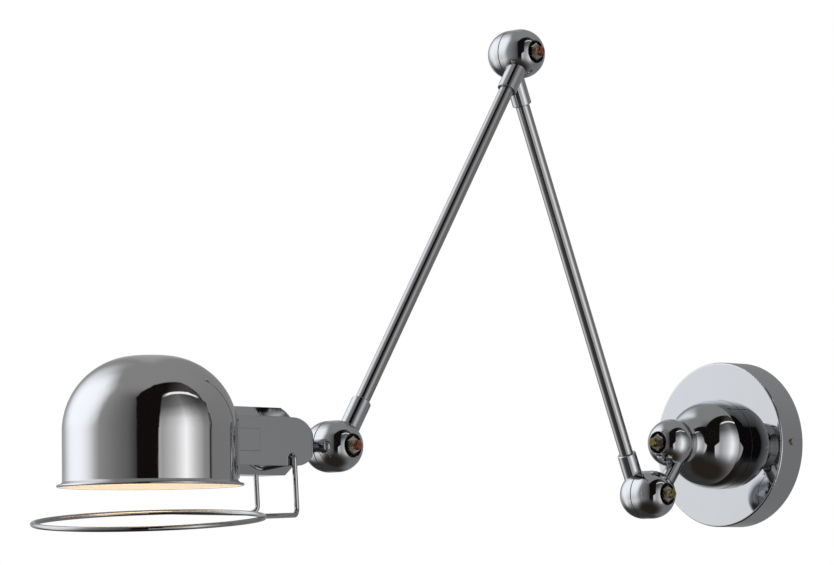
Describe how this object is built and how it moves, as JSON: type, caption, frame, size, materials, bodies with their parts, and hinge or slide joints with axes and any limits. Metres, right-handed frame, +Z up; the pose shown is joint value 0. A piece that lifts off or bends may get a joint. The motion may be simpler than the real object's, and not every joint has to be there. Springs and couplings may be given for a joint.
{
  "type": "swing arm wall lamp",
  "caption": "Polished swing arm wall lamp with a round wall rose, two jointed arms, ball knuckles, a dome shade and a wire guard ring.",
  "frame": {"origin": "middle of the wall rose's back face, on the wall", "axes": "+Z up, +Y into the wall, the lamp reaches out along -Y, the arm joints' nuts face +X"},
  "size_m": [0.1825, 0.7646, 0.426],
  "materials": {
    "polished_chrome": "polished chrome plate",
    "tube_chrome": "polished chrome plate on drawn tube",
    "nut_steel": "plated steel, turned and stamped",
    "brass": "turned brass",
    "copper": "copper washed steel",
    "black_washer": "black oxide",
    "friction_fibre": "dark fibre",
    "zinc_steel": "zinc plated steel",
    "terminal_plastic": "moulded plastic",
    "rubber": "soft rubber",
    "holder_ceramic": "glazed ceramic",
    "cap_metal": "drawn cap metal",
    "bulb_frosted": "frosted warm glass",
    "shade_chrome": "polished chrome outside, warm white enamel inside"
  },
  "bodies": {
    "wall": {"wall_rose": "polished_chrome", "wall_bracket": "zinc_steel", "rose_side_screws": "brass", "terminal_block": "terminal_plastic", "terminal_screws": "nut_steel", "earth_screw": "nut_steel", "wire_grommet": "rubber", "bell_foot": "polished_chrome", "foot_screws": "nut_steel"},
    "knuckle": {"double_knuckle": "polished_chrome", "base_bolt": "brass", "base_nut": "nut_steel", "base_washer": "black_washer", "base_friction_disc": "friction_fibre", "shoulder_bolt": "brass", "shoulder_nut": "nut_steel", "shoulder_washer": "black_washer"},
    "lower_arm": {"shoulder_far_shell": "polished_chrome", "shoulder_friction_disc": "friction_fibre", "lower_arm_tube": "tube_chrome", "elbow_far_shell": "polished_chrome", "elbow_friction_disc": "friction_fibre"},
    "upper_arm": {"elbow_near_shell": "polished_chrome", "elbow_bolt": "copper", "elbow_nut": "nut_steel", "elbow_washer": "black_washer", "upper_arm_tube": "tube_chrome", "head_near_shell": "polished_chrome", "head_bolt": "copper", "head_nut": "nut_steel", "head_washer": "black_washer"},
    "lamp_head": {"head_far_shell": "polished_chrome", "head_friction_disc": "friction_fibre", "neck_nut": "nut_steel", "lamp_body": "polished_chrome", "body_top_cover": "polished_chrome", "body_bottom_cover": "polished_chrome", "blank_side_plate": "polished_chrome", "shade_flange": "polished_chrome", "shade": "shade_chrome", "shade_screws": "nut_steel", "lampholder": "holder_ceramic", "lampholder_ring": "holder_ceramic", "bulb_cap": "cap_metal", "bulb_glass": "bulb_frosted"},
    "guard": {"guard_ring": "tube_chrome", "guard_legs": "tube_chrome"}
  },
  "joints": [
    {"name": "base_swivel", "type": "hinge", "parent": "wall", "child": "knuckle", "pos_m": [0, -0.087, 0], "axis": [0, -1, 0], "range_deg": [-75, 75]},
    {"name": "shoulder_tilt", "type": "hinge", "parent": "knuckle", "child": "lower_arm", "pos_m": [-0.01, -0.1127, -0.0447], "axis": [1, 0, 0], "range_deg": [-15, 60]},
    {"name": "elbow_fold", "type": "hinge", "parent": "lower_arm", "child": "upper_arm", "pos_m": [-0.01, -0.26899, 0.3235], "axis": [1, 0, 0], "range_deg": [-95, 25]},
    {"name": "head_tilt", "type": "hinge", "parent": "upper_arm", "child": "lamp_head", "pos_m": [-0.01, -0.48802, -0.0112], "axis": [1, 0, 0], "range_deg": [-60, 70]},
    {"name": "guard_tilt", "type": "hinge", "parent": "lamp_head", "child": "guard", "pos_m": [-0.0188, -0.54252, -0.0198], "axis": [1, 0, 0], "range_deg": [-4, 20]}
  ]
}
